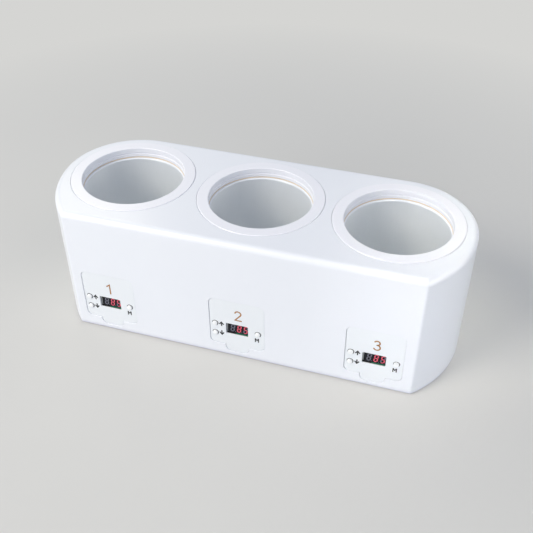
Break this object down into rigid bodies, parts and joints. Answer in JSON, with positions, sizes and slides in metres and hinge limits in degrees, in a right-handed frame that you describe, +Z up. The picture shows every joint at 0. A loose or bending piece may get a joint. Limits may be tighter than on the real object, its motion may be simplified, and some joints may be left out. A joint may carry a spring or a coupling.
{
  "type": "wax heater",
  "caption": "Table-top depilatory wax heater with a row of round heated wells in one moulded housing, each with a display and buttons on the front.",
  "frame": {"origin": "on the surface that the heater stands on, under the middle of its bounding box", "axes": "+X along the row of wells, to the right as seen from the front; +Y towards the back; +Z up"},
  "size_m": [0.4342, 0.1632, 0.1487],
  "materials": {
    "housing": "glossy bluish-white moulded plastic",
    "base": "white moulded plastic, satin",
    "collar": "glossy white moulded plastic",
    "gasket": "tan sealing ring, matte",
    "pot": "spun aluminium, satin",
    "band": "red silicone heating mat",
    "sensor": "plated steel",
    "plate": "white plastic, satin",
    "display": "black digit display with red lit digits",
    "board": "green circuit board",
    "relay": "blue moulded relay case",
    "button": "white moulded plastic",
    "switch": "black moulded plastic",
    "foot": "black rubber",
    "screw": "zinc-plated steel",
    "inlet": "black moulded plastic",
    "blade": "nickel-plated brass",
    "wire": "black insulated wires in a sleeve"
  },
  "bodies": {
    "heater": {"housing": "housing", "base_plate": "base", "left_collar": "collar", "middle_collar": "collar", "right_collar": "collar", "left_gasket": "gasket", "middle_gasket": "gasket", "right_gasket": "gasket", "left_pot": "pot", "middle_pot": "pot", "right_pot": "pot", "left_heating_band": "band", "middle_heating_band": "band", "right_heating_band": "band", "left_temperature_sensor": "sensor", "middle_temperature_sensor": "sensor", "right_temperature_sensor": "sensor", "left_panel_plate": "plate", "middle_panel_plate": "plate", "right_panel_plate": "plate", "left_display": "display", "middle_display": "display", "right_display": "display", "left_control_board": "board", "middle_control_board": "board", "right_control_board": "board", "left_relay": "relay", "middle_relay": "relay", "right_relay": "relay", "left_up_switch": "switch", "left_down_switch": "switch", "left_mode_switch": "switch", "middle_up_switch": "switch", "middle_down_switch": "switch", "middle_mode_switch": "switch", "right_up_switch": "switch", "right_down_switch": "switch", "right_mode_switch": "switch", "front_left_foot": "foot", "rear_left_foot": "foot", "front_right_foot": "foot", "rear_right_foot": "foot", "front_left_screw": "screw", "rear_left_screw": "screw", "front_right_screw": "screw", "rear_right_screw": "screw", "mains_inlet": "inlet", "live_blade": "blade", "neutral_blade": "blade", "earth_blade": "blade", "wiring": "wire"},
    "left_up": {"left_up_button": "button"},
    "left_down": {"left_down_button": "button"},
    "left_mode": {"left_mode_button": "button"},
    "middle_up": {"middle_up_button": "button"},
    "middle_down": {"middle_down_button": "button"},
    "middle_mode": {"middle_mode_button": "button"},
    "right_up": {"right_up_button": "button"},
    "right_down": {"right_down_button": "button"},
    "right_mode": {"right_mode_button": "button"}
  },
  "joints": [
    {"name": "left_up_press", "type": "slide", "parent": "heater", "child": "left_up", "axis": [0, 1, 0], "range_m": [0, 0.0005], "stiffness_N_per_m": 1500},
    {"name": "left_down_press", "type": "slide", "parent": "heater", "child": "left_down", "axis": [0, 1, 0], "range_m": [0, 0.0005], "stiffness_N_per_m": 1500},
    {"name": "left_mode_press", "type": "slide", "parent": "heater", "child": "left_mode", "axis": [0, 1, 0], "range_m": [0, 0.0005], "stiffness_N_per_m": 1500},
    {"name": "middle_up_press", "type": "slide", "parent": "heater", "child": "middle_up", "axis": [0, 1, 0], "range_m": [0, 0.0005], "stiffness_N_per_m": 1500},
    {"name": "middle_down_press", "type": "slide", "parent": "heater", "child": "middle_down", "axis": [0, 1, 0], "range_m": [0, 0.0005], "stiffness_N_per_m": 1500},
    {"name": "middle_mode_press", "type": "slide", "parent": "heater", "child": "middle_mode", "axis": [0, 1, 0], "range_m": [0, 0.0005], "stiffness_N_per_m": 1500},
    {"name": "right_up_press", "type": "slide", "parent": "heater", "child": "right_up", "axis": [0, 1, 0], "range_m": [0, 0.0005], "stiffness_N_per_m": 1500},
    {"name": "right_down_press", "type": "slide", "parent": "heater", "child": "right_down", "axis": [0, 1, 0], "range_m": [0, 0.0005], "stiffness_N_per_m": 1500},
    {"name": "right_mode_press", "type": "slide", "parent": "heater", "child": "right_mode", "axis": [0, 1, 0], "range_m": [0, 0.0005], "stiffness_N_per_m": 1500}
  ]
}
